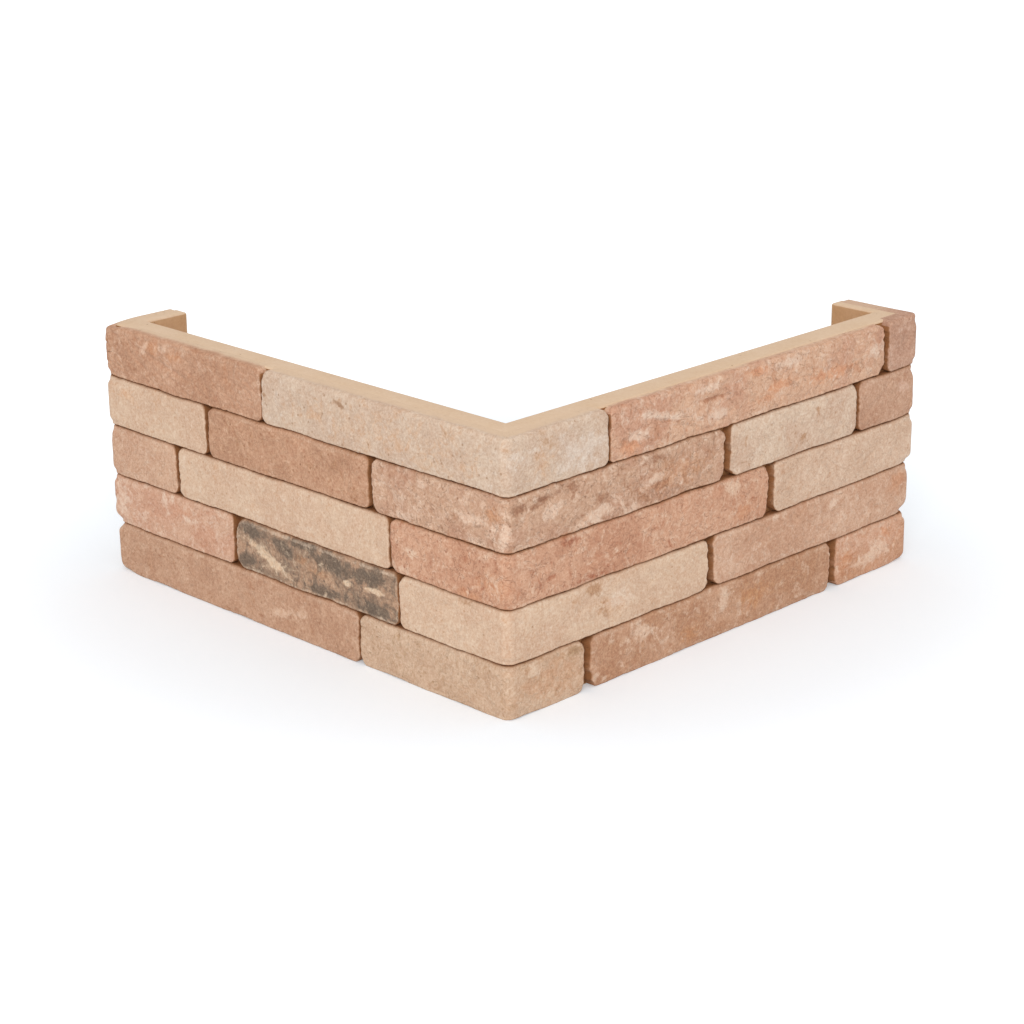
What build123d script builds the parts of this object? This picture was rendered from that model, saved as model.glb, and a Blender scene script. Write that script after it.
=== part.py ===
from build123d import *
from collections import namedtuple
import os

# A brick veneer corner: one casting that clads an outside corner of a wall.
# Behind is a smooth L-shaped shell with a short return at the far end of each leg.
# In front, five courses of bricks stand out of it, some of them wrapping its corners.
# The origin is at the middle of the base: +X along the right leg, +Y along the left leg, +Z up.
# All lengths are in millimetres.

# Legs and returns, measured on the outside, from the main corner and from each end corner
right_length = 625.0
left_length = 610.0
right_return = 98.0
left_return = 94.0

# Section: the smooth shell in a leg and in a return, and how far the bricks stand out of it
leg_shell_depth = 30.0
return_shell_depth = 18.0
relief = 12.0

# Brick courses and the recessed joints between the bricks
course_height = 55.0
bed_joint = 3.0
right_head_joint = 9.0
left_head_joint = 4.0

# Rounding: tumbled brick edges, brick ends, wrapped corners, and the mould's own corners
arris_radius = 4.0
head_radius = 6.0
main_corner_radius = 10.0
end_corner_radius = 10.0
shell_radius = 3.0
shell_rim_radius = 2.0

# How far the corner brick reaches along each leg, from the bottom course up
right_corner_reach = [104.0, 283.0, 375.0, 306.0, 137.0]
left_corner_reach = [207.0, 148.0, 159.0, 184.0, 344.0]

# How far the brick that wraps the end of each leg reaches back along that leg.
# None where it reaches as far as the corner brick and only one joint is between them.
right_end_reach = [134.0, None, None, 98.0, 53.0]
left_end_reach = [None, 211.0, 120.0, 173.0, None]

# Sizes that follow from the ones above
leg_depth = relief + leg_shell_depth
return_depth = relief + return_shell_depth
brick_depth = relief + return_shell_depth / 2
course_count = len(right_corner_reach)
height = course_count * course_height
outer_corner = Plane(origin=(-right_length / 2, -left_length / 2, 0))

# One leg with its return, its joints, and the reach of its bricks in each course
Leg = namedtuple("Leg", "along_x length end_return head_joint corner_reach end_reach")
right_leg = Leg(
    True, right_length, right_return, right_head_joint, right_corner_reach, right_end_reach
)
left_leg = Leg(
    False, left_length, left_return, left_head_joint, left_corner_reach, left_end_reach
)


def plan_points(leg, steps):
    """Return the plan points of steps given as distance along a leg and depth behind its face."""
    return [(along, depth) if leg.along_x else (depth, along) for along, depth in steps]


def course_span(course):
    """Return the bottom and top of the bricks of a course, the lowest being course 0."""
    bottom = course * course_height
    top = bottom + course_height
    if course > 0:
        bottom += bed_joint / 2
    if course < course_count - 1:
        top -= bed_joint / 2
    return bottom, top


def make_brick(outline, radii, course):
    """Return one brick: a plan outline with rounded corners, with its top and bottom edges worn."""
    bottom, top = course_span(course)
    with BuildPart() as brick:
        with BuildSketch(outer_corner.offset(bottom)):
            with BuildLine():
                FilletPolyline(*outline, radius=radii, close=True)
            make_face()
        extrude(amount=top - bottom)
        levels = brick.faces().filter_by(Axis.Z).sort_by(Axis.Z)
        fillet(levels[0].edges() + levels[-1].edges(), arris_radius)
    return brick.part


def corner_brick(course):
    """Return the brick that wraps the main corner in a course."""
    right_reach = right_corner_reach[course]
    left_reach = left_corner_reach[course]
    outline = [
        (0, 0),
        (right_reach, 0),
        (right_reach, brick_depth),
        (brick_depth, brick_depth),
        (brick_depth, left_reach),
        (0, left_reach),
    ]
    radii = [main_corner_radius] + [head_radius] * (len(outline) - 1)
    return make_brick(outline, radii, course)


def end_start(leg, course):
    """Return where the brick that wraps the end of a leg starts along that leg."""
    if leg.end_reach[course] is None:
        return leg.corner_reach[course] + leg.head_joint
    return leg.length - leg.end_reach[course]


def end_brick(leg, course):
    """Return the brick that wraps the end of a leg and covers the return behind it."""
    start = end_start(leg, course)
    steps = [
        (start, 0),
        (leg.length, 0),
        (leg.length, leg.end_return),
        (leg.length - brick_depth, leg.end_return),
        (leg.length - brick_depth, brick_depth),
        (start, brick_depth),
    ]
    radii = [head_radius, end_corner_radius] + [head_radius] * (len(steps) - 2)
    return make_brick(plan_points(leg, steps), radii, course)


def middle_brick(leg, course):
    """Return the straight brick between the corner brick and the end brick of a leg."""
    start = leg.corner_reach[course] + leg.head_joint
    end = end_start(leg, course) - leg.head_joint
    steps = [(start, 0), (end, 0), (end, brick_depth), (start, brick_depth)]
    return make_brick(plan_points(leg, steps), [head_radius] * len(steps), course)


# Bricks, course by course from the bottom
bricks = []
for course in range(course_count):
    bricks.append(corner_brick(course))
    for leg in (right_leg, left_leg):
        if leg.end_reach[course] is not None:
            bricks.append(middle_brick(leg, course))
        bricks.append(end_brick(leg, course))

# The whole casting: the shell with its two returns, and the bricks rooted in it
shell_outline = [
    (relief, relief),
    (right_length - relief, relief),
    (right_length - relief, right_return),
    (right_length - return_depth, right_return),
    (right_length - return_depth, leg_depth),
    (leg_depth, leg_depth),
    (leg_depth, left_length - return_depth),
    (left_return, left_length - return_depth),
    (left_return, left_length - relief),
    (relief, left_length - relief),
]
with BuildPart() as veneer_corner:
    with BuildSketch(outer_corner):
        with BuildLine():
            FilletPolyline(*shell_outline, radius=shell_radius, close=True)
        make_face()
    extrude(amount=height)
    rims = veneer_corner.faces().filter_by(Axis.Z)
    fillet(rims[0].edges() + rims[-1].edges(), shell_rim_radius)
    add(bricks)

veneer_corner.part.label = "veneer_corner"
os.makedirs("parts", exist_ok=True)
export_step(veneer_corner.part, "parts/veneer_corner.step")
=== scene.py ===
import logging
import math
from dataclasses import dataclass
from enum import Enum

import bmesh
import bpy
from mathutils import Matrix, Vector, noise


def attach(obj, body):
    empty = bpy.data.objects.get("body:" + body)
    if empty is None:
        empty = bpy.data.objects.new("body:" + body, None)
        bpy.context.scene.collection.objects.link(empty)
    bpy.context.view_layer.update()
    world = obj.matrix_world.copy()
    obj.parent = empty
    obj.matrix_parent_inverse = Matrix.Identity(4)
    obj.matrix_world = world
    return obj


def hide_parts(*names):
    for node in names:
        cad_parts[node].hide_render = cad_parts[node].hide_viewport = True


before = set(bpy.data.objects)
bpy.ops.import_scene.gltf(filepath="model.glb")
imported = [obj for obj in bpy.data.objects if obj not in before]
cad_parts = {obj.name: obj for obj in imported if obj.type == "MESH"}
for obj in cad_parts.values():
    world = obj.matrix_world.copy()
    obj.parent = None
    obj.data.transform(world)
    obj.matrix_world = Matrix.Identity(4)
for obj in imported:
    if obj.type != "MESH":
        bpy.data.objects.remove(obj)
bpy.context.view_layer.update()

# The looks of a brick veneer corner: one casting, with a smooth buff shell behind and five
# courses of tumbled bricks in relief in front. Sizes are in millimetres until a mesh is placed.
# A place on the outside face is given by its distance along the outside line in plan, from the
# main corner, more than 0 on the right leg and less than 0 on the left leg, and by its height.

LOG = logging.getLogger("brick_veneer_corner")
METRES = 0.001
NODE = "veneer_corner"
BODY = "root"

# What each point of a brick tells its material: how much pigment it has, how far it is hidden
# in a joint, with a painted shade along the lowest course's bottom edge at the floor, how near
# an edge it is, and how pale, dark or warm the marks make it
TRACES = ("pigment", "recess_and_contact_shade", "edge", "pale", "dark", "warm")


def linear(colour: str) -> tuple[float, float, float, float]:
    """Turn an sRGB hex colour to linear light.

    Args:
        colour: six hex digits after a hash.

    Returns:
        Red, green, blue and an alpha of 1.
    """
    shares = [int(colour[i:i + 2], 16) / 255 for i in (1, 3, 5)]
    light = [c / 12.92 if c <= 0.04045 else ((c + 0.055) / 1.055) ** 2.4 for c in shares]
    return light[0], light[1], light[2], 1.0


def per_metre(size: float) -> float:
    """Return the texture scale at which one feature of a pattern is this many mm across."""
    return 1000.0 / size


def smooth(low: float, high: float, value: float) -> float:
    """Return a soft step from 0 at low to 1 at high."""
    share = min(1.0, max(0.0, (value - low) / (high - low)))
    return share * share * (3.0 - 2.0 * share)


def ripple(along: float, up: float, size: float, seed: float) -> float:
    """Return smooth noise from about -1 to 1 whose features are this many mm across."""
    return noise.noise(Vector((along / size, up / size, seed)))


def add_node(tree: bpy.types.NodeTree, kind: str, values: dict | None = None) -> bpy.types.Node:
    """Add a node with its settings and links.

    Args:
        tree: the node tree that gets it.
        kind: the node's type, without the words that all shader nodes start with.
        values: what it is given, by the name of a property, or by the name or number of an
            input. An output socket of another node is linked to the input.

    Returns:
        The new node.
    """
    node = tree.nodes.new("ShaderNode" + kind)
    for key, value in (values or {}).items():
        if isinstance(value, bpy.types.NodeSocket):
            tree.links.new(value, node.inputs[key])
        elif isinstance(key, str) and hasattr(node, key):
            setattr(node, key, value)
        else:
            node.inputs[key].default_value = value
    return node


def mark_where(
    tree: bpy.types.NodeTree,
    value: bpy.types.NodeSocket,
    span: tuple[float, float],
    most: float = 1.0,
    helper: bpy.types.NodeSocket | None = None,
    share: float = 0.0,
) -> bpy.types.NodeSocket:
    """Mark where a value, with the help of another one, goes through a span of levels.

    Args:
        tree: the node tree that gets the nodes.
        value: the value that decides.
        span: the levels at which the mark starts and is full, in either order.
        most: what the mark is where it is full.
        helper: another value, a share of which is added to the first.
        share: that share.

    Returns:
        The mark, which rises softly from 0 to its most.
    """
    if helper is not None:
        value = add_node(
            tree, "Math", {"operation": "MULTIPLY_ADD", 0: helper, 1: share, 2: value}
        ).outputs["Value"]
    return add_node(
        tree, "MapRange",
        {
            "interpolation_type": "SMOOTHSTEP",
            "From Min": span[0], "From Max": span[1], "To Max": most, "Value": value,
        },
    ).outputs["Result"]


def lay_colours(
    tree: bpy.types.NodeTree,
    colour: bpy.types.NodeSocket | tuple[float, float, float, float],
    layers: tuple[tuple, ...],
) -> bpy.types.NodeSocket:
    """Lay colours over a first one.

    Args:
        tree: the node tree that gets the nodes.
        colour: the first colour.
        layers: for each further colour its share, itself and the way it blends.

    Returns:
        The colour that results.
    """
    for share, over, blend in layers:
        colour = add_node(
            tree, "Mix",
            {"data_type": "RGBA", "blend_type": blend, 0: share, 6: colour, 7: over},
        ).outputs[2]
    return colour


def seen_plainly(tree: bpy.types.NodeTree) -> bpy.types.NodeSocket:
    """Return what is 1 for rays of the camera, of gloss and of glass, and 0 for the others.

    Args:
        tree: the node tree that gets the nodes.

    Returns:
        That value.
    """
    rays = add_node(tree, "LightPath").outputs
    seen = rays["Is Camera Ray"]
    for other in ("Is Glossy Ray", "Is Transmission Ray"):
        seen = add_node(
            tree, "Math", {"operation": "MAXIMUM", 0: seen, 1: rays[other]}
        ).outputs["Value"]
    return seen


def bare_material(name: str) -> bpy.types.Material:
    """Return a new material with no nodes."""
    material = bpy.data.materials.new(name)
    material.use_nodes = True
    material.node_tree.nodes.clear()
    return material


def make_mesh(name: str, shape: bmesh.types.BMesh) -> bpy.types.Mesh:
    """Return a shape as a mesh, and free the shape."""
    mesh = bpy.data.meshes.new(name)
    shape.to_mesh(mesh)
    shape.free()
    return mesh


def make_piece(name: str, data: bpy.types.ID) -> bpy.types.Object:
    """Return an object in the scene that holds a mesh, a camera or a light."""
    piece = bpy.data.objects.new(name, data)
    bpy.context.scene.collection.objects.link(piece)
    return piece


@dataclass(frozen=True)
class OutsideLine:
    """The outside line of the casting in plan, with its three rounded corners."""

    right_length: float = 625.0
    left_length: float = 610.0
    right_return: float = 98.0
    left_return: float = 94.0
    main_radius: float = 10.0
    end_radius: float = 10.0
    pivot: float = 25.0  # depth at which the brick rows of a corner would meet
    mitre_reach: float = 60.0  # how far from a corner the shell's sections start to turn
    front: float = 12.0  # depth of the shell's front, which is the floor of the joints
    return_share: float = 0.6  # thickness of the shell in a return, over that in a leg

    @property
    def low_end(self) -> float:
        """Where the left return ends."""
        return -self.left_length - self.left_return

    @property
    def high_end(self) -> float:
        """Where the right return ends."""
        return self.right_length + self.right_return

    def corner(self, along: float) -> tuple[float, float, float, float, float, float]:
        """Find the corner that is nearest to a place along the line.

        Args:
            along: distance along the line from the main corner.

        Returns:
            The corner's place along the line, its x and y, the direction in which the line
            comes in to it, and its radius. The line then turns left by a right angle.
        """
        left, front = -self.right_length / 2, -self.left_length / 2
        if along < -self.left_length / 2:
            return -self.left_length, left, -front, -1.0, 0.0, self.end_radius
        if along > self.right_length / 2:
            return self.right_length, -left, front, 1.0, 0.0, self.end_radius
        return 0.0, left, front, 0.0, -1.0, self.main_radius

    def to_leg_end(self, along: float) -> float:
        """Return the distance along the line from the nearer end of a leg."""
        return min(abs(along - self.right_length), abs(along + self.left_length))

    def place(self, along: float, depth: float) -> tuple[float, float]:
        """Find the plan point of a place on a brick, whose rows fan out round a corner.

        Args:
            along: distance along the line from the main corner.
            depth: depth behind the line.

        Returns:
            Its x and y.
        """
        at, x, y, go_x, go_y, radius = self.corner(along)
        in_x, in_y = -go_y, go_x
        step = along - at
        if abs(step) < radius:
            angle = (step / radius + 1.0) * math.pi / 4
            middle_x = x + radius * (in_x - go_x)
            middle_y = y + radius * (in_y - go_y)
            outer_x = middle_x - radius * (in_x * math.cos(angle) - go_x * math.sin(angle))
            outer_y = middle_y - radius * (in_y * math.cos(angle) - go_y * math.sin(angle))
        elif step < 0:
            outer_x, outer_y = x + go_x * step, y + go_y * step
        else:
            outer_x, outer_y = x + in_x * step, y + in_y * step
        back = self.pivot
        before, after = min(step, -back), max(step, back)
        if step < 0:
            inner_x, inner_y = x + go_x * before + in_x * back, y + go_y * before + in_y * back
        else:
            inner_x, inner_y = x + in_x * after - go_x * back, y + in_y * after - go_y * back
        share = depth / back
        return outer_x + (inner_x - outer_x) * share, outer_y + (inner_y - outer_y) * share

    def place_mitred(self, along: float, depth: float) -> tuple[float, float]:
        """Find the plan point of a place on the shell, whose layers meet in mitres.

        Args:
            along: distance along the line from the main corner.
            depth: depth in a leg. In a return the same layer lies less deep.

        Returns:
            Its x and y.
        """
        at, x, y, go_x, go_y, _ = self.corner(along)
        in_x, in_y = -go_y, go_x
        thin = self.front + (depth - self.front) * self.return_share
        before = thin if at < 0 else depth
        after = thin if at > 0 else depth
        step = along - at
        reach = max(abs(step), self.mitre_reach)
        if step < 0:
            far_x, far_y = x - go_x * reach + in_x * before, y - go_y * reach + in_y * before
        else:
            far_x, far_y = x + in_x * reach - go_x * after, y + in_y * reach - go_y * after
        share = min(1.0, abs(step) / self.mitre_reach)
        near_x, near_y = x + in_x * before - go_x * after, y + in_y * before - go_y * after
        return near_x + (far_x - near_x) * share, near_y + (far_y - near_y) * share


LINE = OutsideLine()
COURSE_HEIGHT = 55.0
COURSES = 5
HEIGHT = COURSES * COURSE_HEIGHT
BED_JOINT = 1.3  # between the worn edges of two courses, at the face


@dataclass(frozen=True)
class TumbledFace:
    """Mineral pigment dusted on the mould's face of a cast stone brick, then tumbled and matt.

    It gives the eye a tone that wanders over each brick, pale limy patches, darker stains in
    the dents, a fine sandy mottle with pits, and a body colour where the pigment runs out.
    """

    name: str
    tone: str
    shade: str
    pale: str
    dark: str
    warm: str
    pale_cover: float = 0.5  # noise level above which it is pale: lower covers more
    dark_cover: float = 0.5
    shade_size: float = 55.0
    mottle: float = 0.26  # how strongly its mottle lightens and darkens it
    rub: float = 0.12  # how far its edges are rubbed pale
    creases: float = 0.6  # how deep its fine creases are
    body: str = "#e0c1a2"
    # The joint colour also paints shade along the lowest course's bottom edge, where it meets the
    # floor
    joint: str = "#956138"
    edge: str = "#e6cdb4"
    patch_size: float = 17.0
    stain_size: float = 16.0
    mottle_size: float = 5.0
    sand_size: float = 2.2  # sand of about 1 mm, drawn coarser so that it shows
    crease_size: float = 15.0
    pit_spacing: float = 6.5
    sand: float = 0.27  # how strongly the sand lightens and darkens it
    full_stain: float = 0.85  # how much of the tone a full stain or pale patch hides
    bump_depth: float = 0.0007  # in metres
    shift: tuple[float, float, float] = (0.37, 0.11, 0.23)  # between patterns, in metres

    def material(self) -> bpy.types.Material:
        """Build the material that bricks of this colour get.

        Returns:
            The material, which reads Object coordinates and the traces on the points.
        """
        material = bare_material(self.name)
        tree = material.node_tree
        place = add_node(tree, "TexCoord").outputs["Object"]
        shifted = add_node(
            tree, "Mapping", {"Location": self.shift, "Vector": place}
        ).outputs["Vector"]
        traces = {
            name: add_node(tree, "Attribute", {"attribute_name": name}).outputs["Fac"]
            for name in TRACES
        }
        wander, patches, stains, mottle, sand, lines = (
            add_node(
                tree, "TexNoise",
                {
                    "Scale": per_metre(size), "Detail": detail, "Roughness": roughness,
                    "Distortion": distortion, "Vector": at,
                },
            ).outputs["Fac"]
            for at, size, detail, roughness, distortion in (
                (place, self.shade_size, 3.0, 0.6, 0.0),
                (place, self.patch_size, 5.0, 0.66, 1.1),
                (shifted, self.stain_size, 4.0, 0.6, 1.4),
                (place, self.mottle_size, 6.0, 0.72, 0.8),
                (shifted, self.sand_size, 3.0, 0.7, 0.0),
                (shifted, self.crease_size, 3.0, 0.55, 0.9),
            )
        )

        # Stains and lime have grainy borders
        grain = add_node(
            tree, "Math", {"operation": "MULTIPLY_ADD", 0: mottle, 1: 0.2, 2: -0.1}
        ).outputs["Value"]
        grainy_stains, grainy_patches = (
            add_node(tree, "Math", {"operation": "ADD", 0: pattern, 1: grain}).outputs["Value"]
            for pattern in (stains, patches)
        )

        # A pit in a few cells, and creases along the middle level of a noise, with breaks
        cells = add_node(
            tree, "TexVoronoi", {"Scale": per_metre(self.pit_spacing), "Vector": shifted}
        )
        chosen = add_node(
            tree, "SeparateColor", {"Color": cells.outputs["Color"]}
        ).outputs[0]
        beside = add_node(
            tree, "Math", {"operation": "SUBTRACT", 0: lines, 1: 0.5}
        ).outputs["Value"]
        away = add_node(tree, "Math", {"operation": "ABSOLUTE", 0: beside}).outputs["Value"]
        pit, crease = (
            add_node(tree, "Math", {"operation": "MULTIPLY", 0: form, 1: some}).outputs["Value"]
            for form, some in (
                (
                    mark_where(tree, cells.outputs["Distance"], (0.24, 0.12)),
                    mark_where(tree, chosen, (0.86, 0.97), 0.7),
                ),
                (
                    mark_where(tree, away, (0.02, 0.004), self.creases),
                    mark_where(tree, mottle, (0.44, 0.56)),
                ),
            )
        )
        # Half a crease's depth also darkens its colour: a painted shade in the crease, whose lit
        # side comes from the bump
        painted_crease_shade = add_node(
            tree, "Math", {"operation": "MULTIPLY", 0: crease, 1: 0.5}
        ).outputs["Value"]

        warmth = mark_where(tree, stains, (0.55, 0.85), 0.6, traces["warm"], 0.32)
        staining = mark_where(
            tree, grainy_stains, (self.dark_cover + 0.04, self.dark_cover + 0.3),
            self.full_stain, traces["dark"], 0.36,
        )
        liming = mark_where(
            tree, grainy_patches, (self.pale_cover + 0.03, self.pale_cover + 0.3),
            self.full_stain, traces["pale"], 0.34,
        )
        rubbing = mark_where(tree, patches, (0.66, 0.9), self.rub, traces["edge"], 0.3)
        bareness = mark_where(tree, traces["pigment"], (1.15, 0.3), 1.0, mottle, 0.6)
        # The joint colour, deeper into the joints; on the lowest course's bottom edge it is a
        # painted shade at the floor
        joint_and_contact_shade = mark_where(tree, traces["recess_and_contact_shade"], (0.25, 1.05), 1.0, mottle, 0.35)
        colour = lay_colours(tree, linear(self.tone), (
            (mark_where(tree, wander, (0.38, 0.62)), linear(self.shade), "MIX"),
            (warmth, linear(self.warm), "MIX"),
            (staining, linear(self.dark), "MIX"),
            (liming, linear(self.pale), "MIX"),
            (rubbing, linear(self.edge), "MIX"),
            (self.mottle, mark_where(tree, mottle, (0.3, 0.7)), "SOFT_LIGHT"),
            (self.sand, mark_where(tree, sand, (0.3, 0.7)), "SOFT_LIGHT"),
            (pit, linear(self.dark), "MIX"),
            (painted_crease_shade, linear(self.dark), "MIX"),
            (bareness, linear(self.body), "MIX"),
            (joint_and_contact_shade, linear(self.joint), "MIX"),
        ))

        grit, hollows = (
            add_node(
                tree, "Math", {"operation": "MULTIPLY_ADD", 0: fine, 1: share, 2: other}
            ).outputs["Value"]
            for fine, share, other in ((sand, 0.35, mottle), (crease, 1.6, pit))
        )
        height = add_node(
            tree, "Math", {"operation": "SUBTRACT", 0: grit, 1: hollows}
        ).outputs["Value"]
        bump = add_node(
            tree, "Bump", {"Strength": 0.6, "Distance": self.bump_depth, "Height": height}
        ).outputs["Normal"]
        matt = add_node(
            tree, "MapRange", {"To Min": 0.84, "To Max": 0.97, "Value": patches}
        ).outputs["Result"]
        shader = add_node(
            tree, "BsdfPrincipled",
            {"IOR": 1.5, "Base Color": colour, "Roughness": matt, "Normal": bump},
        )
        add_node(tree, "OutputMaterial", {"Surface": shader.outputs["BSDF"]})
        return material


@dataclass(frozen=True)
class CastBody:
    """Cast stone as it leaves a steel mould: plain, smooth and matt, of one body colour.

    It gives the eye a flat tone with a faint cloudiness, a fine grain and a few air holes.
    """

    name: str
    tone: str
    shade: str
    hole: str
    cloud_size: float = 45.0
    roughness: float = 0.85
    sand_size: float = 3.0  # drawn coarser than it is, so that it shows
    hole_spacing: float = 9.0
    sand: float = 0.25
    bump_depth: float = 0.0004  # in metres

    def material(self) -> bpy.types.Material:
        """Build the material of the unpigmented body.

        Returns:
            The material, which reads Object coordinates.
        """
        material = bare_material(self.name)
        tree = material.node_tree
        place = add_node(tree, "TexCoord").outputs["Object"]
        clouds, sand = (
            add_node(
                tree, "TexNoise",
                {
                    "Scale": per_metre(size), "Detail": detail, "Roughness": roughness,
                    "Vector": place,
                },
            ).outputs["Fac"]
            for size, detail, roughness in ((self.cloud_size, 5.0, 0.6), (self.sand_size, 4.0, 0.5))
        )
        cells = add_node(
            tree, "TexVoronoi", {"Scale": per_metre(self.hole_spacing), "Vector": place}
        )
        chosen = add_node(
            tree, "SeparateColor", {"Color": cells.outputs["Color"]}
        ).outputs[0]
        cloudy, round_hole, few = (
            add_node(
                tree, "MapRange", {"From Min": low, "From Max": high, "Value": value}
            ).outputs["Result"]
            for value, low, high in (
                (clouds, 0.35, 0.65), (cells.outputs["Distance"], 0.14, 0.07), (chosen, 0.8, 0.86)
            )
        )
        hole = add_node(
            tree, "Math", {"operation": "MULTIPLY", 0: round_hole, 1: few}
        ).outputs["Value"]
        colour = lay_colours(tree, linear(self.tone), (
            (cloudy, linear(self.shade), "MIX"),
            (self.sand, sand, "SOFT_LIGHT"),
            (hole, linear(self.hole), "MIX"),
        ))
        height = add_node(
            tree, "Math", {"operation": "SUBTRACT", 0: sand, 1: hole}
        ).outputs["Value"]
        bump = add_node(
            tree, "Bump", {"Strength": 0.25, "Distance": self.bump_depth, "Height": height}
        ).outputs["Normal"]
        shader = add_node(
            tree, "BsdfPrincipled",
            {"IOR": 1.5, "Roughness": self.roughness, "Base Color": colour, "Normal": bump},
        )
        add_node(tree, "OutputMaterial", {"Surface": shader.outputs["BSDF"]})
        return material


# The back, seen as the inner faces of the returns, is the buff body darkened partly as a painted
# shade
BUFF_BACK_AND_PAINTED_SHADE = CastBody("cast_stone_buff_back_and_painted_shade", "#c9a079", "#bf946a", "#8f6b4e")
BUFF_BODY = CastBody("cast_stone_buff_smooth", "#e1c3a5", "#dcbc9b", "#b08a69")
JOINT_FLOOR = CastBody("cast_stone_joint_brown", "#a06e42", "#92623a", "#7a4f2b", 20.0, 0.95)


class Trace(Enum):
    """What a mark leaves on a brick's face: one of the traces, or only its dent."""

    PALE = "pale"
    DARK = "dark"
    WARM = "warm"
    PLAIN = ""


class BrickEnd(Enum):
    """How a brick ends: its arris, the lean of its end wall and how ragged it is, in mm."""

    CRISP = (1.8, 0.5, 1.4)
    SCALLOPED = (1.8, 0.7, 2.2)
    SLANTED = (2.6, 6.5, 2.0)
    STEEP = (2.4, 3.5, 1.6)
    UPRIGHT = (2.2, 1.2, 0.9)
    FREE = (3.5, 0.0, 0.1)

    def __init__(self, arris: float, lean: float, ragged: float) -> None:
        """Give the three measures their names."""
        self.arris, self.lean, self.ragged = arris, lean, ragged


@dataclass(frozen=True)
class Mark:
    """A dent, crease or stain on a face: its middle, half its length and height, and its turn."""

    trace: Trace
    along: float
    up: float
    length: float
    height: float
    turn: float = 0.0
    amount: float = 1.0
    depth: float = 0.0

    def weight(self, along: float, up: float) -> float:
        """Work out how strong the mark is at a place.

        Args:
            along: place along the outside line.
            up: height.

        Returns:
            1 in its middle, less further out, and 0 past twice its size.
        """
        cosine, sine = math.cos(math.radians(self.turn)), math.sin(math.radians(self.turn))
        du, dv = along - self.along, up - self.up
        reach = (du * cosine + dv * sine) / self.length
        rise = (dv * cosine - du * sine) / self.height
        away = reach * reach + rise * rise
        return 0.0 if away > 4.0 else math.exp(-1.1 * away)


@dataclass(frozen=True)
class Rim:
    """The rim of a brick's face, inside its arrises, and the brick's place in the wall."""

    course: int  # the lowest is 0
    seed: float  # what sets its relief apart from that of the other bricks
    bottom: float
    top: float
    middle: tuple[float, float]
    half: tuple[float, float]
    arris: dict[tuple[int, int], float]  # by the side that it is on
    radii: dict[tuple[int, int], float]  # by corner

    @property
    def is_bottom(self) -> bool:
        """Whether the brick is in the lowest course."""
        return self.course == 0

    @property
    def is_top(self) -> bool:
        """Whether the brick is in the highest course."""
        return self.course == COURSES - 1


@dataclass
class Point:
    """A point of a brick on its way from the flat grid to its place."""

    ring: int  # 0 on the face, then outwards and back to the brick's root
    side_x: int
    side_y: int
    out_x: float  # how far it looks along the line, out of the brick's end
    out_y: float  # how far it looks up or down
    along: float
    up: float
    depth: float
    arris: float
    inside_x: float  # distances from the rim, less than 0 outside it
    inside_y: float


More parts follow.
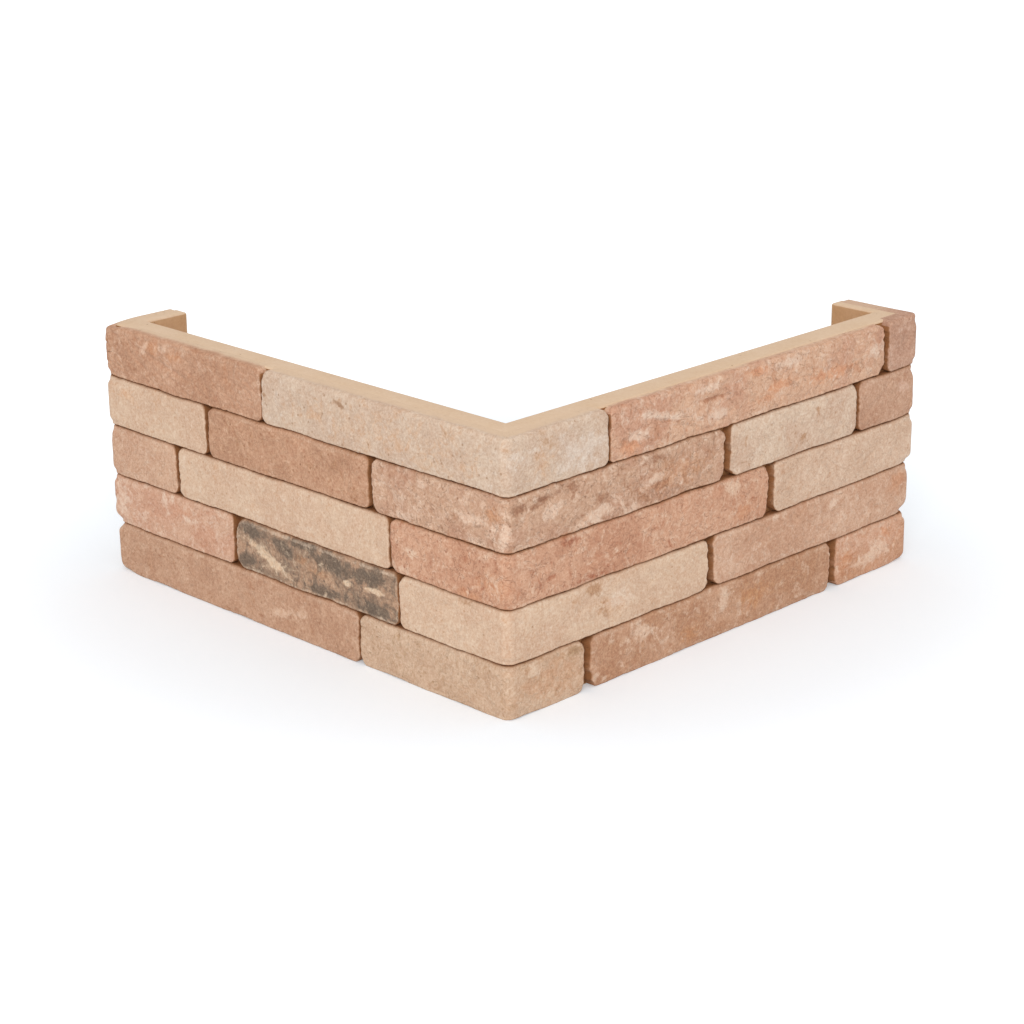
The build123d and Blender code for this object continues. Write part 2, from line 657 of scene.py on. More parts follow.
@dataclass(frozen=True)
class Brick:
    """One brick of the relief, with the places along the outside line where it starts and ends."""

    start: float
    end: float
    start_end: BrickEnd
    end_end: BrickEnd
    finish: TumbledFace
    roughness: float = 0.5
    marks: tuple[Mark, ...] = ()
    drop: float = 0.0  # how far its top lies under the course's top
    sag: float = 0.0  # how far its top is worn down where it turns into the return
    start_radius: float = 0.0  # of the corners at its start, where they are not the usual ones
    spill: float = 1.0  # how far its pigment runs over its top, over the usual
    foot: float = 0.0  # radius to which its lower corner is worn at the end of the leg

    cell: float = 1.3  # spacing of the points on its face
    root: float = 24.0  # how deep it goes, into the shell
    tuck: float = 0.6  # how far the back edge of its top goes down into the shell
    corner_radius: float = 6.5  # of the face, seen from the front, inside its arrises
    corner_spread: float = 3.0  # how far that radius differs from corner to corner
    slanted_radii: tuple[float, float] = (10.0, 4.0)  # at the bottom and top of a slanted end
    free_radius: float = 1.5  # at the end of a return
    arris_rings: int = 4
    wall_rings: int = 4
    top_arris: float = 4.8
    end_squareness: float = 0.4  # how much less round the top edge is at the ends of the legs
    end_reach: float = 30.0  # how far from there that is so
    bottom_arris: float = 2.2
    foot_arris: float = 3.0  # of the lowest course's bottom edge
    wear_reach: float = 3.6  # how far in from its edges the face is worn
    corner_wear: float = 1.6  # how deep the wear is at the ends of the legs
    corner_reach: float = 26.0  # how far from there that is so
    sag_reach: float = 24.0
    pigment_reach: tuple[float, float] = (3.0, 18.0)  # depth where the top's pigment fades out
    softened: float = 0.1  # how much less a slanted end wall is stained than an upright one
    rub_width: float = 1.6  # of the rubbed edge of the face

    # How hidden and how rubbed each ring of points is, the last number for all that follow
    recess_of_ring: tuple[float, ...] = (0.0, 0.1, 0.3, 0.54, 0.8, 1.0)
    rub_of_ring: tuple[float, ...] = (1.0, 1.0, 0.6, 0.0)

    @property
    def last_ring(self) -> int:
        """The last ring of points before the back."""
        return self.arris_rings + self.wall_rings

    def end_on(self, side: int) -> BrickEnd:
        """Return how the brick ends on a side, less than 0 being its start."""
        return self.start_end if side < 0 else self.end_end

    def profile(self, ring: int, arris: float, lean: float) -> tuple[float, float]:
        """Work out the section of an arris and the wall behind it.

        Args:
            ring: the ring of points.
            arris: the arris's radius.
            lean: how far the wall leans out at its back.

        Returns:
            How far out of the face's rim the ring lies, and how deep.
        """
        if ring <= self.arris_rings:
            angle = ring / self.arris_rings * math.pi / 2
            return arris * math.sin(angle), arris * (1.0 - math.cos(angle))
        share = (ring - self.arris_rings) / self.wall_rings
        return arris + lean * share, arris + (self.root - arris) * share

    def relief(self, along: float, up: float, seed: float) -> float:
        """Work out how uneven the face is, without its marks.

        Args:
            along: place along the outside line.
            up: height.
            seed: what sets the relief apart. What is added to it keeps its noises apart.

        Returns:
            How far the face lies behind its highest level.
        """
        rough = self.roughness
        depth = 0.5 * (1.0 + ripple(along, up, 85.0, seed))
        depth += (0.5 + rough) * smooth(0.1, 0.6, ripple(along, up * 1.3, 24.0, seed + 5.0))
        depth += 0.14 * (1.0 + ripple(along, up, 7.0, seed + 9.0))
        depth += 0.07 * (1.0 + ripple(along, up, 3.2, seed + 13.0))
        if rough > 0.6:
            across = up * 0.8 + along * 0.45
            crease = ripple(along - up, across * 3.0, 30.0, seed + 17.0)
            depth += 1.1 * rough * smooth(0.16, 0.0, abs(crease))
            depth += 0.25 * rough * (1.0 + ripple(along, up, 5.0, seed + 21.0))
        return depth

    def wear(self, along: float, up: float, inside: float, seed: float) -> float:
        """Work out the wear near the face's top and bottom edges.

        Args:
            along: place along the outside line.
            up: height.
            inside: distance from the face's nearer edge.
            seed: what sets the wear apart from that of the other bricks.

        Returns:
            How far the face is worn back.
        """
        end = min(LINE.to_leg_end(along), abs(along) + 12.0)
        at_corner = math.exp(-((end / self.corner_reach) ** 2))
        if up < self.foot:
            worn = self.foot - math.sqrt(self.foot ** 2 - (self.foot - max(0.0, up)) ** 2)
            return worn * at_corner
        if inside > 2.5 * self.wear_reach:
            return 0.0
        at_corner *= smooth(HEIGHT, HEIGHT - 25.0, up)
        amount = self.corner_wear * at_corner + 0.5 + 0.5 * ripple(along, up, 21.0, seed + 31.0)
        return amount * math.exp(-((max(0.0, inside) / self.wear_reach) ** 2))

    def rim(self, course: int, seed: float) -> Rim:
        """Work out the rim of the brick's face.

        Args:
            course: the course that it is in, the lowest being 0.
            seed: what sets its relief apart from that of the other bricks.

        Returns:
            The rim.
        """
        is_bottom, is_top = course == 0, course == COURSES - 1
        bottom = course * COURSE_HEIGHT + (0.0 if is_bottom else BED_JOINT / 2)
        top = (course + 1) * COURSE_HEIGHT - (0.0 if is_top else BED_JOINT / 2) - self.drop
        arris = {
            (-1, 0): self.start_end.arris,
            (1, 0): self.end_end.arris,
            (0, -1): self.foot_arris if is_bottom else self.bottom_arris,
            (0, 1): self.top_arris,
        }
        radii = {
            (x, y): self.corner_radius
            + self.corner_spread * ripple(x * 7.7, y * 5.3, 3.0, seed + 40.0)
            for x in (-1, 1) for y in (-1, 1)
        }
        if self.start_end is BrickEnd.SLANTED:
            radii[-1, -1], radii[-1, 1] = self.slanted_radii
        if self.start_radius:
            radii[-1, -1] = radii[-1, 1] = self.start_radius
        for side in (-1, 1):
            if self.end_on(side) is BrickEnd.FREE:
                radii[side, -1] = radii[side, 1] = self.free_radius
        low_u, high_u = self.start + arris[-1, 0], self.end - arris[1, 0]
        low_v, high_v = bottom + arris[0, -1], top - arris[0, 1]
        return Rim(
            course, seed, bottom, top,
            ((low_u + high_u) / 2, (low_v + high_v) / 2),
            ((high_u - low_u) / 2, (high_v - low_v) / 2),
            arris, radii,
        )

    def build(self, course: int, seed: float) -> bpy.types.Mesh:
        """Make the brick's mesh: a grid, drawn out in rings to the back, then moved to its shape.

        Args:
            course: the course that it is in, the lowest being 0.
            seed: what sets its relief apart from that of the other bricks.

        Returns:
            A closed mesh in its place, in metres, with the traces on its points.
        """
        rim = self.rim(course, seed)
        shape = bmesh.new()
        layers = {name: shape.verts.layers.float.new(name) for name in TRACES}
        bmesh.ops.create_grid(
            shape,
            x_segments=round((self.end - self.start) / self.cell),
            y_segments=round((rim.top - rim.bottom) / self.cell),
            size=1.0,
        )
        edges = [edge for edge in shape.edges if edge.is_boundary]
        for ring in range(1, self.last_ring + 2):
            grown = bmesh.ops.extrude_edge_only(shape, edges=edges)["geom"]
            edges = [g for g in grown if isinstance(g, bmesh.types.BMEdge) and g.is_boundary]
            for vert in {v for edge in edges for v in edge.verts}:
                vert.co.z = -ring
        back = list({v for edge in edges for v in edge.verts})
        for vert in back:
            vert.co.y = 0.0
        bmesh.ops.remove_doubles(shape, verts=back, dist=0.0001)
        for vert in shape.verts:
            point = self.spread(rim, vert.co.x, vert.co.y, round(-vert.co.z))
            self.wander(rim, point)
            for name, amount in {**self.sink(rim, point), **self.bare(rim, point)}.items():
                vert[layers[name]] = amount
            plan_x, plan_y = LINE.place(point.along, point.depth)
            vert.co = (plan_x * METRES, plan_y * METRES, point.up * METRES)
        bmesh.ops.recalc_face_normals(shape, faces=shape.faces)
        for face in shape.faces:
            face.smooth = True
        return make_mesh("brick", shape)

    def spread(self, rim: Rim, x: float, y: float, ring: int) -> Point:
        """Spread a point of the grid to the brick's rounded outline, arrises and walls.

        Args:
            rim: the rim of the brick's face.
            x: where the point is in the grid, from -1 to 1.
            y: the same, upwards.
            ring: the ring of points that it is in.

        Returns:
            The point, with the brick's face still flat and its edges straight.
        """
        half_u, half_v = rim.half
        side_x, side_y = (1 if x > 0 else -1), (1 if y > 0 else -1)
        radius = rim.radii[side_x, side_y]
        p = (abs(x) * half_u - half_u + radius) / radius
        q = (abs(y) * half_v - half_v + radius) / radius
        u, v = x * half_u, y * half_v
        out_x = out_y = 0.0
        if p > 0 and q > 0:
            bent_p = p * math.sqrt(1.0 - q * q / 2)
            bent_q = q * math.sqrt(1.0 - p * p / 2)
            u = side_x * (half_u - radius + bent_p * radius)
            v = side_y * (half_v - radius + bent_q * radius)
            out_x, out_y = side_x * bent_p, side_y * bent_q
        elif abs(x) > 0.9999:
            out_x = side_x
        elif ring > 0:
            out_y = side_y
        depth = arris = 0.0
        if ring > self.last_ring:
            v, depth = 0.0, self.root
        elif ring > 0:
            share_x, share_y = out_x * out_x, out_y * out_y
            arris = share_x * rim.arris[side_x, 0] + share_y * rim.arris[0, side_y]
            out, depth = self.profile(ring, arris, share_x * self.end_on(side_x).lean)
            if rim.is_top and side_y > 0 and ring <= self.arris_rings:
                end = LINE.to_leg_end(rim.middle[0] + u)
                depth *= 1.0 - self.end_squareness * math.exp(-((end / self.end_reach) ** 2))
            u += out_x * out
            v += out_y * min(out, arris)
        return Point(
            ring, side_x, side_y, out_x, out_y, rim.middle[0] + u, rim.middle[1] + v,
            depth, arris, half_u - abs(u), half_v - abs(v),
        )

    def wander(self, rim: Rim, point: Point) -> None:
        """Make the brick's ends ragged and its edges wavy, less so towards its middle.

        Args:
            rim: the rim of the brick's face.
            point: the point that is moved.
        """
        for side, limit in ((-1, self.start), (1, self.end)):
            near = 1.0 - smooth(1.0, 9.0, abs(limit - point.along))
            if near > 0:
                wave = 0.9 * ripple(point.up, side * 40.0, 4.5, rim.seed)
                wave += ripple(point.up, side, 19.0, rim.seed)
                point.along += side * near * self.end_on(side).ragged * (wave - 0.3)
        if rim.is_top and point.side_y > 0:
            if self.sag:
                length = LINE.left_length if point.along < 0 else LINE.right_length
                turn = (abs(point.along) - length) / self.sag_reach
                down = self.sag * math.exp(-turn * turn)
                point.up -= down * smooth(rim.bottom, rim.top, point.up)
            if point.ring >= self.last_ring:
                point.up -= self.tuck
        else:
            edge = rim.top if point.side_y > 0 else rim.bottom
            near = 1.0 - smooth(1.0, 12.0, abs(edge - point.up))
            if near > 0:
                # The bed joint's own wave, which both its bricks follow, and the brick's
                bed = (rim.course + (point.side_y + 1) // 2) * 3.7
                shared = 1.3 * ripple(point.along, 0.0, 46.0, bed)
                shared += 0.5 * ripple(point.along, 0.0, 11.0, bed)
                own = 0.35 * ripple(point.along, point.side_y * 50.0, 5.0, rim.seed)
                own += 0.6 * ripple(point.along, point.side_y * 50.0, 60.0, rim.seed)
                point.up += near * (shared + point.side_y * own)
        if rim.is_bottom:
            point.up = max(point.up, 0.0)

    def sink(self, rim: Rim, point: Point) -> dict[str, float]:
        """Sink a point of the face or an arris by the relief, the wear and the marks.

        Args:
            rim: the rim of the brick's face.
            point: the point that is moved.

        Returns:
            How pale, dark and warm the marks make it.
        """
        left = {trace.value: 0.0 for trace in Trace if trace is not Trace.PLAIN}
        if point.ring > self.arris_rings:
            return left
        sunk = self.relief(point.along, point.up, rim.seed)
        sunk += self.wear(point.along, point.up, point.inside_y, rim.seed)
        for mark in self.marks:
            weight = mark.weight(point.along, point.up)
            sunk += weight * mark.depth
            if mark.trace is not Trace.PLAIN:
                left[mark.trace.value] = max(left[mark.trace.value], weight * mark.amount)
        sunk = max(0.0, sunk)
        if point.ring > 0:
            sunk += max(point.arris - sunk, 0.3) * point.depth / point.arris
        point.depth = sunk
        return left

    def bare(self, rim: Rim, point: Point) -> dict[str, float]:
        """Work out where the brick is bare of pigment, hidden in a joint, given painted shade at
        the floor, or rubbed.

        Args:
            rim: the rim of the brick's face.
            point: a point in its place.

        Returns:
            The traces of that.
        """
        end = self.end_on(point.side_x)
        open_top = 1.0 if rim.is_top and point.out_y > 0.7 else 0.0
        open_end = 1.0 if end is BrickEnd.FREE and abs(point.out_x) > 0.7 else 0.0
        shown = max(open_top, open_end)
        recess_and_contact_shade = self.recess_of_ring[min(point.ring, len(self.recess_of_ring) - 1)]
        recess_and_contact_shade *= 1.0 - shown
        if point.ring > 0 and point.out_x * point.out_x > 0.5:
            recess_and_contact_shade *= 1.0 - self.softened * min(1.0, end.lean / 6.0)
            recess_and_contact_shade += 0.35 * ripple(point.along, point.up, 6.0, rim.seed + 50.0)
        # The lowest course's bottom edge keeps most of this joint colour: a painted shade where it
        # meets the floor
        if rim.is_bottom and point.out_y < -0.5:
            recess_and_contact_shade *= 0.7
        run = self.spill * (1.0 + 0.3 * ripple(point.along, 0.0, 22.0, rim.seed + 60.0))
        bare = smooth(*self.pigment_reach, point.depth / run) * shown
        past_left, past_right = -LINE.left_length - point.along, point.along - LINE.right_length
        if past_left > 0:
            bare = max(bare, open_top * smooth(2.0, 30.0, past_left))
        if past_right > 0:
            bare = max(bare, 0.6 * open_top * smooth(10.0, 50.0, past_right))
        if point.ring == 0:
            rubbed = math.exp(-min(point.inside_x, point.inside_y) / self.rub_width)
        else:
            rubbed = self.rub_of_ring[min(point.ring, len(self.rub_of_ring) - 1)]
        return {"pigment": 1.0 - bare, "recess_and_contact_shade": recess_and_contact_shade, "edge": rubbed}


@dataclass(frozen=True)
class BrickCourse:
    """One course of bricks, wrapped round the casting from return to return.

    Its ends stand a little further in than those of the courses that reach out most.
    """

    number: int
    left_set_back: float
    right_set_back: float
    bricks: tuple[Brick, ...]

    fold: tuple[float, float] = (60.0, 25.0)  # distances from an end where the set-back starts

    def set_back(self, mesh: bpy.types.Mesh) -> None:
        """Push the bricks at both ends of the course in towards the main corner.

        Args:
            mesh: the course's mesh, in metres.
        """
        far, near = self.fold
        end_x, end_y = LINE.right_length / 2, LINE.left_length / 2
        for vert in mesh.vertices:
            x, y = vert.co.x / METRES, vert.co.y / METRES
            x -= self.right_set_back * smooth(end_x - far, end_x - near, x)
            y -= self.left_set_back * smooth(end_y - far, end_y - near, y)
            vert.co.x, vert.co.y = x * METRES, y * METRES

    def build(self) -> bpy.types.Object:
        """Make the course as one piece, each brick with its own finish.

        Returns:
            The piece.
        """
        whole = bmesh.new()
        for index, brick in enumerate(self.bricks):
            part = brick.build(self.number, 31.0 * self.number + 7.3 * index)
            part.polygons.foreach_set("material_index", [index] * len(part.polygons))
            whole.from_mesh(part)
            bpy.data.meshes.remove(part)
        name = f"brick_course_{self.number + 1}"
        mesh = make_mesh(name, whole)
        for brick in self.bricks:
            mesh.materials.append(brick.finish.material())
        self.set_back(mesh)
        return make_piece(name, mesh)


def cream(name: str, dark: str = "#c69b7a") -> TumbledFace:
    """Return a cream finish, the palest of the bricks."""
    return TumbledFace(
        name, "#dcbca0", "#d6b397", "#e4c8b0", dark, "#dbac87", 0.5, 0.55, creases=0.4)


FACES = {
    "c0_corner": TumbledFace(
        "cast_stone_tan_beige", "#d4b397", "#cba88b", "#e1c3a8", "#ae8967", "#ce9e7b"),
    "c0_left": TumbledFace(
        "cast_stone_rose_brown", "#c99f82", "#c09477", "#dfbb9f", "#ab7a5a", "#c7906c"),
    "c0_middle": TumbledFace(
        "cast_stone_orange_tan", "#c79b7d", "#bc8c6c", "#e0bfa5", "#a37151", "#ca9063", 0.46),
    "c0_right": TumbledFace(
        "cast_stone_orange", "#d5a689", "#ca9776", "#e9c7ad", "#b37b58", "#d5946b", 0.46),
    "c1_corner": cream("cast_stone_cream", "#b98c69"),
    "c1_middle": TumbledFace(
        "cast_stone_charred", "#ba9579", "#9e816a", "#e7c9aa", "#6b5c4e", "#c18e67",
        0.5, 0.42, 34.0, 0.3, 0.4),
    "c1_left": TumbledFace(
        "cast_stone_rose_beige", "#d7ad91", "#cf9e82", "#e6c6ae", "#bf896b", "#d29879", 0.46),
    "c1_right": TumbledFace(
        "cast_stone_rose_tan", "#d4ab8f", "#ca9d80", "#e5c4ab", "#b48567", "#d09570", 0.47),
    "c2_corner": TumbledFace(
        "cast_stone_salmon", "#d2a284", "#c79375", "#e3bfa3", "#ac6b4d", "#cf916a", 0.46,
        creases=1.0),
    "c2_middle": cream("cast_stone_cream_long"),
    "c2_left": TumbledFace(
        "cast_stone_rose", "#d4ab8e", "#cba084", "#e1bea3", "#bb8e70", "#cd9978", 0.46),
    "c2_right": TumbledFace(
        "cast_stone_beige", "#ddbda3", "#d5b398", "#e8cdb4", "#bc8e6f", "#d7a987"),
    "c3_corner": TumbledFace(
        "cast_stone_brown_rose", "#cca488", "#c19479", "#e4c3aa", "#a07053", "#cc9167", 0.44,
        creases=1.0),
    "c3_middle": TumbledFace(
        "cast_stone_terracotta", "#c8997a", "#bc8e70", "#d6ad8f", "#a4724e", "#c88e68"),
    "c3_left": cream("cast_stone_cream_short"),
    "c3_middle_right": TumbledFace(
        "cast_stone_cream_grey", "#dcc0a7", "#d4b49b", "#e8d0ba", "#b78a68", "#d6ac8e"),
    "c3_right": TumbledFace(
        "cast_stone_pink_brown", "#c99e82", "#bf9276", "#d9b198", "#aa785c", "#c79070"),
    "c4_corner": TumbledFace(
        "cast_stone_pale_beige", "#d6bba3", "#cfb199", "#dfcab8", "#ab8465", "#d6a984",
        0.5, 0.57, creases=0.4),
    "c4_left": TumbledFace(
        "cast_stone_dusky_pink", "#ca9c7e", "#bf9072", "#deb69a", "#a97657", "#cc9068", 0.47),
    "c4_middle": TumbledFace(
        "cast_stone_pink", "#d8ad8f", "#cc9b7f", "#e5c5ad", "#b0795a", "#d9966d", 0.46,
        creases=1.0),
    "c4_right": TumbledFace(
        "cast_stone_mauve", "#c79c83", "#bc9077", "#d8b29b", "#a77962", "#c79173"),
}

CRISP, SCALLOPED, SLANTED, STEEP, UPRIGHT, FREE = BrickEnd
PALE, DARK, WARM, PLAIN = Trace
LOW, HIGH = LINE.low_end, LINE.high_end

WALL = (
    BrickCourse(0, 3.0, 6.0, (
        Brick(LOW, -208.5, FREE, UPRIGHT, FACES["c0_left"], 0.3, (
            Mark(PALE, -328, 22, 16, 5, 15), Mark(PALE, -296, 28, 12, 5, 20),
            Mark(PLAIN, -612, 54, 16, 5, 0, 1.0, 4.0),
        ), foot=10.0),
        Brick(-207, 104, CRISP, CRISP, FACES["c0_corner"], 0.3, (
            Mark(DARK, -151, 48, 2, 7, 10, 1.0, 1.2),
            Mark(PALE, 38, 41, 10, 6), Mark(WARM, 58, 28, 60, 26, 0, 0.9),
            Mark(DARK, 92, 46, 12, 5, 0, 0.8),
        )),
        Brick(112, 482, SLANTED, SCALLOPED, FACES["c0_middle"], 0.5, (
            Mark(PALE, 307, 36, 6, 16), Mark(PALE, 188, 37, 16, 7),
            Mark(WARM, 356, 28, 30, 16), Mark(WARM, 255, 14, 20, 9),
        )),
        Brick(490, HIGH, SLANTED, FREE, FACES["c0_right"], 0.6, (
            Mark(PALE, 554, 20, 26, 9, 10), Mark(WARM, 507, 27, 12, 12),
            Mark(WARM, 585, 38, 20, 10),
        ), foot=9.0),
    )),
    BrickCourse(1, 1.0, 4.5, (
        Brick(LOW, -399, FREE, UPRIGHT, FACES["c1_left"], 0.5, (
            Mark(WARM, -486, 92, 20, 9), Mark(PALE, -508, 101, 14, 6, 0, 0.6),
            Mark(PALE, -470, 86, 16, 5, 0, 0.6), Mark(PALE, -592, 78, 34, 20, 0, 0.5),
            Mark(PLAIN, -612, 57, 16, 6, 0, 1.0, 4.5),
        )),
        Brick(-395, -150.5, CRISP, UPRIGHT, FACES["c1_middle"], 0.8, (
            Mark(PALE, -345, 77, 34, 5, -22, 1.6, 1.2), Mark(DARK, -371, 100, 14, 7),
            Mark(DARK, -381, 66, 12, 7), Mark(DARK, -318, 92, 14, 8, -20, 1.2),
            Mark(DARK, -290, 104, 22, 5), Mark(WARM, -293, 88, 16, 7),
            Mark(DARK, -247, 95, 20, 8, -10, 1.2), Mark(WARM, -266, 81, 22, 6),
            Mark(DARK, -196, 95, 22, 8, 0, 1.2), Mark(DARK, -183, 63, 22, 7),
            Mark(PALE, -224, 81, 4.5, 2.6, 0, 2.2), Mark(PALE, -182, 83, 16, 3, 0, 1.4),
            Mark(DARK, -260, 62, 26, 5, 0, 1.2),
        ), start_radius=13.0),
        Brick(-148, 283, CRISP, SCALLOPED, FACES["c1_corner"], 0.3, (
            Mark(DARK, -62, 105, 12, 3, 0, 0.9), Mark(DARK, 117, 101, 14, 7, 0, 1.3),
            Mark(WARM, 145, 78, 18, 8, 0, 1.6),
            Mark(PLAIN, 140, 62, 3, 10, 20, 1.0, 1.2),
            Mark(PALE, 152, 82, 22, 10), Mark(DARK, 133, 74, 9, 13, 20, 0.75),
        )),
        Brick(291, HIGH, SLANTED, FREE, FACES["c1_right"], 0.5, (
            Mark(PALE, 483, 97, 5, 4, 0, 1.6), Mark(WARM, 599, 93, 20, 12),
            Mark(PLAIN, 627, 57, 18, 7, 0, 1.0, 5.0),
        )),
    )),
    BrickCourse(2, 1.0, 0.0, (
        Brick(LOW, -490, FREE, UPRIGHT, FACES["c2_left"], 0.4),
        Brick(-486, -160.5, CRISP, UPRIGHT, FACES["c2_middle"], 0.35),
        Brick(-159, 375, CRISP, SCALLOPED, FACES["c2_corner"], 0.6, (
            Mark(WARM, -22, 130, 26, 12), Mark(WARM, -52, 115, 24, 6, 0, 1.2),
            Mark(DARK, -34, 125, 3, 3, 0, 1.0, 1.0),
            Mark(PALE, -131, 137, 8, 4), Mark(PALE, -142, 116, 10, 4),
            Mark(DARK, 56, 128, 16, 5, 15, 0.8, 1.0),
            Mark(DARK, 104, 115, 26, 3.5, 0, 0.9),
            Mark(DARK, 83, 158, 12, 4), Mark(WARM, 337, 125, 12, 10),
            Mark(PALE, 320, 153, 14, 6),
        )),
        Brick(384, HIGH, SLANTED, FREE, FACES["c2_right"], 0.4, (
            Mark(PLAIN, 627, 112, 14, 5, 0, 1.0, 3.0),
        )),
    )),
    BrickCourse(3, 0.0, 1.0, (
        Brick(LOW, -437, FREE, UPRIGHT, FACES["c3_left"], 0.3, (
            Mark(WARM, -572, 205, 18, 9),
        )),
        Brick(-433, -187.5, CRISP, UPRIGHT, FACES["c3_middle"], 0.4),
        Brick(-184, 306, CRISP, SCALLOPED, FACES["c3_corner"], 0.7, (
            Mark(WARM, -20, 200, 16, 9, 0, 1.4, 1.2), Mark(PALE, -114, 208, 7, 4),
            Mark(PALE, -140, 170, 12, 5), Mark(PALE, -46, 190, 16, 6),
            Mark(PALE, -3, 182, 5, 16, 0, 1.2), Mark(DARK, 18, 205, 14, 6, 0, 1.1, 1.6),
            Mark(DARK, 50, 206, 20, 5, 10, 1, 1.0), Mark(DARK, 90, 210, 6, 6, 30),
            Mark(PALE, 61, 195, 12, 5, 10, 1.3), Mark(WARM, 230, 190, 70, 18, 0, 0.8),
            Mark(DARK, 170, 190, 110, 30, 0, 0.3),
            Mark(PALE, 122, 176, 18, 6, 10, 1.2), Mark(DARK, 201, 211, 26, 4),
            Mark(PALE, 203, 190, 16, 6, 10),
        )),
        Brick(315, 518, SLANTED, CRISP, FACES["c3_middle_right"], 0.5, (
            Mark(DARK, 430, 182, 6, 3, 20, 0.7), Mark(DARK, 454, 207, 5, 2.5, 0, 0.7),
        )),
        Brick(522.5, HIGH, STEEP, FREE, FACES["c3_right"], 0.5, (
            Mark(PALE, 600, 199, 12, 6),
        )),
    )),
    BrickCourse(4, 1.0, 0.0, (
        Brick(LOW, -345.5, FREE, UPRIGHT, FACES["c4_left"], 0.8, (
            Mark(WARM, -521, 263, 13, 9, 0, 1.4, 0.8), Mark(WARM, -486, 261, 18, 6),
            Mark(PALE, -537, 260, 4, 10, -30, 1.0), Mark(PALE, -504, 266, 10, 4),
            Mark(PLAIN, -515, 251, 34, 2.6, -14, 1.0, 1.5),
            Mark(PLAIN, -480, 244, 26, 2.6, -14, 1.0, 1.2),
        ), sag=3.5),
        Brick(-344, 137, CRISP, CRISP, FACES["c4_corner"], 0.4, (
            Mark(DARK, -224, 262, 14, 3, -20, 1.2, 0.6), Mark(WARM, -266, 244, 14, 7),
            Mark(WARM, -150, 248, 150, 30, 0, 0.5),
            Mark(WARM, 50, 246, 14, 22, 15, 0.9),
            Mark(DARK, 48, 258, 14, 14, 15, 0.4), Mark(PALE, 96, 244, 40, 24, 0, 0.7),
            Mark(PALE, 20, 252, 16, 14, 0, 0.8),
            Mark(DARK, -340, 250, 2.5, 2.5, 0, 1.2),
        ), spill=0.75),
        Brick(139.5, 563, UPRIGHT, CRISP, FACES["c4_middle"], 0.9, (
            Mark(WARM, 166, 231, 14, 8, 0, 1.2), Mark(DARK, 153, 256, 8, 5, 0, 0.8),
            Mark(PALE, 176, 240, 12, 5, 0, 1.1), Mark(PALE, 210, 252, 30, 4, -14, 1.1),
            Mark(DARK, 292, 253, 40, 2.2, -2, 0.9, 1.6),
            Mark(DARK, 218, 246, 34, 2, -14, 0.7, 1.4),
            Mark(PALE, 279, 265, 20, 4), Mark(PALE, 295, 235, 16, 5),
            Mark(WARM, 359, 266, 16, 5, 0, 1.6), Mark(WARM, 390, 245, 24, 7, 0, 1.2),
            Mark(WARM, 369, 236, 14, 5), Mark(PALE, 402, 266, 20, 4),
            Mark(WARM, 470, 240, 40, 9), Mark(PALE, 544, 250, 12, 7),
        ), drop=1.0),
        Brick(569.5, HIGH, STEEP, FREE, FACES["c4_right"], 0.5, (
            Mark(PALE, 590, 264, 8, 4),
        ), spill=2.0),
    )),
)


@dataclass(frozen=True)
class CastShell:
    """The smooth shell behind the bricks, with its top band, its back and its two returns."""

    back: float = 42.0  # depth of its back behind the outside line, in a leg
    top_gap: float = 0.05  # how far it stays below the pigmented tops of the bricks
    rim: float = 3.0
    stations: int = 330
    levels: int = 44
    layer: float = 0.4  # how thick the layers are that its front and its back are told by
    unevenness: float = 0.15  # of its back

    def build(self) -> bpy.types.Object:
        """Make the shell: a straight rounded bar, cut into short lengths and bent to the plan.

        Returns:
            The piece.
        """
        length = LINE.high_end - LINE.low_end
        shape = bmesh.new()
        bmesh.ops.create_cube(shape, size=1.0)
        height = HEIGHT - self.top_gap
        bmesh.ops.scale(shape, vec=(length, self.back - LINE.front, height), verts=shape.verts)
        bmesh.ops.translate(
            shape,
            vec=((LINE.high_end + LINE.low_end) / 2, (LINE.front + self.back) / 2, height / 2),
            verts=shape.verts,
        )
        bmesh.ops.bevel(
            shape, geom=shape.edges, offset=self.rim, segments=4, profile=0.5,
            affect="EDGES", material=-1,
        )
        for axis, cuts in ((0, self.stations), (2, self.levels)):
            edges = [
                edge for edge in shape.edges
                if abs((edge.verts[0].co - edge.verts[1].co)[axis]) > self.back
            ]
            bmesh.ops.subdivide_edges(shape, edges=edges, cuts=cuts, use_grid_fill=True)
        for face in shape.faces:
            face.smooth = True
            depth = face.calc_center_median().y
            if depth < LINE.front + self.layer:
                face.material_index = 1
            # The back faces take the darker buff, which is partly a painted shade
            elif depth > self.back - self.layer:
                face.material_index = 2
        for vert in shape.verts:
            along, depth, up = vert.co
            if depth > self.back - self.layer:
                depth -= self.unevenness * (1.0 + ripple(along, up, 70.0, 3.0))
            plan_x, plan_y = LINE.place_mitred(along, depth)
            vert.co = (plan_x * METRES, plan_y * METRES, up * METRES)
        bmesh.ops.recalc_face_normals(shape, faces=shape.faces)
        mesh = make_mesh("cast_shell", shape)
        for finish in (BUFF_BODY, JOINT_FLOOR, BUFF_BACK_AND_PAINTED_SHADE):
            mesh.materials.append(finish.material())
        return make_piece("cast_shell", mesh)


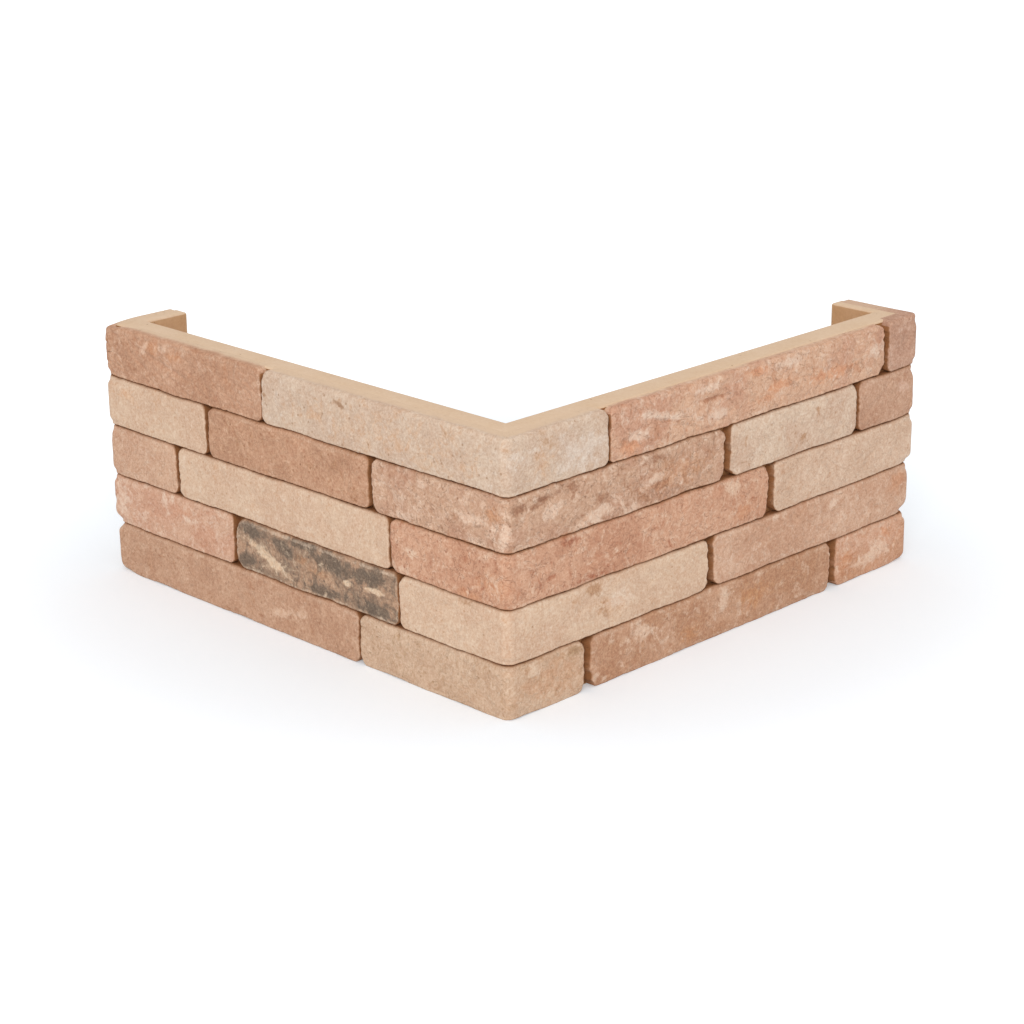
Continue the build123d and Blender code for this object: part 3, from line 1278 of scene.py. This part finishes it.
@dataclass(frozen=True)
class Studio:
    """A pale floor with a painted glow, weaker near the object, soft light all round with a little
    more from the front, and a camera.
    """

    camera_place: tuple[float, float, float] = (-1.7733, -1.7783, 0.9260)
    yaw: float = 45.105
    pitch: float = 19.077
    roll: float = -0.560
    lens: float = 85.663
    sensor: float = 36.0
    sky: float = 0.755
    key_watts: float = 175.0
    key_size: float = 3.4
    key_place: tuple[float, float, float] = (-4.6, -4.0, 3.3)
    key_aim: tuple[float, float, float] = (-0.1, -0.1, 0.12)
    floor_colour: str = "#e7ecf1"
    floor_size: float = 24.0
    # The floor's glow is painted light; its weaker level near the object leaves a painted shade
    # round it
    floor_glow: float = 0.235
    far_glow: float = 0.5
    glow_reach: tuple[float, float] = (0.42, 0.82)  # distances where the glow rises to the far one

    def camera(self) -> bpy.types.Object:
        """Place the camera where the photograph's perspective puts it.

        Returns:
            The scene's camera.
        """
        yaw, pitch, roll = (math.radians(a) for a in (self.yaw, self.pitch, self.roll))
        ahead = Vector((
            math.cos(pitch) * math.cos(yaw), math.cos(pitch) * math.sin(yaw), -math.sin(pitch)
        ))
        level = Vector((math.sin(yaw), -math.cos(yaw), 0.0))
        upright = level.cross(ahead)
        right = level * math.cos(roll) + upright * math.sin(roll)
        up = upright * math.cos(roll) - level * math.sin(roll)
        data = bpy.data.cameras.new("camera")
        data.lens = self.lens
        data.sensor_width = self.sensor
        data.clip_start, data.clip_end = 0.05, 50.0
        camera = make_piece("camera", data)
        turn = Matrix((right, up, -ahead)).transposed().to_4x4()
        camera.matrix_world = Matrix.Translation(self.camera_place) @ turn
        bpy.context.scene.camera = camera
        return camera

    def floor(self) -> bpy.types.Object:
        """Lay the floor, whose glow for the camera is painted light, weaker near the object, so
        that it is white further out and a painted shade rings the object.

        Returns:
            The floor.
        """
        material = bare_material("studio_floor_paper_with_painted_glow")
        tree = material.node_tree
        place = add_node(tree, "TexCoord").outputs["Object"]
        away = add_node(tree, "VectorMath", {"operation": "LENGTH", 0: place}).outputs["Value"]
        level = add_node(
            tree, "MapRange",
            {
                "interpolation_type": "SMOOTHSTEP",
                "From Min": self.glow_reach[0], "From Max": self.glow_reach[1],
                "To Min": self.floor_glow, "To Max": self.far_glow, "Value": away,
            },
        ).outputs["Result"]
        glow = add_node(
            tree, "Math", {"operation": "MULTIPLY", 0: seen_plainly(tree), 1: level}
        ).outputs["Value"]
        paper = add_node(tree, "BsdfDiffuse", {"Color": linear(self.floor_colour)})
        light = add_node(tree, "Emission", {"Strength": glow})
        both = add_node(
            tree, "AddShader", {0: paper.outputs["BSDF"], 1: light.outputs["Emission"]}
        )
        add_node(tree, "OutputMaterial", {"Surface": both.outputs["Shader"]})
        shape = bmesh.new()
        bmesh.ops.create_grid(shape, x_segments=1, y_segments=1, size=self.floor_size / 2)
        mesh = make_mesh("studio_floor", shape)
        mesh.materials.append(material)
        return make_piece("studio_floor", mesh)

    def lights(self) -> None:
        """Light the object evenly from all round, and a little more from the front left."""
        world = bpy.data.worlds.new("studio")
        bpy.context.scene.world = world
        world.use_nodes = True
        tree = world.node_tree
        tree.nodes.clear()
        # What is seen of the sky is pure white, whatever light it gives
        strength = add_node(
            tree, "MapRange", {"To Min": self.sky, "To Max": 1.0, "Value": seen_plainly(tree)}
        ).outputs["Result"]
        sky = add_node(tree, "Background", {"Color": linear("#ffffff"), "Strength": strength})
        add_node(tree, "OutputWorld", {"Surface": sky.outputs["Background"]})
        data = bpy.data.lights.new("key", "AREA")
        data.shape = "DISK"
        data.size = self.key_size
        data.energy = self.key_watts
        key = make_piece("key", data)
        place = Vector(self.key_place)
        turn = (Vector(self.key_aim) - place).to_track_quat("-Z", "Y").to_matrix().to_4x4()
        key.matrix_world = Matrix.Translation(place) @ turn


def count_triangles(piece: bpy.types.Object) -> int:
    """Return how many triangles a piece's mesh has."""
    return sum(len(polygon.vertices) - 2 for polygon in piece.data.polygons)


def main() -> None:
    """Build the shell, the five courses of bricks and the studio."""
    logging.basicConfig(level=logging.INFO, format="%(message)s")
    pieces = [CastShell().build()] + [course.build() for course in WALL]
    for piece in pieces:
        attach(piece, BODY)
        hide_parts(NODE)
        LOG.info("%s: %d triangles", piece.name, count_triangles(piece))
    studio = Studio()
    studio.camera()
    studio.lights()
    studio.floor()
    bpy.context.scene.view_settings.view_transform = "Standard"


if __name__ == "__main__":
    main()
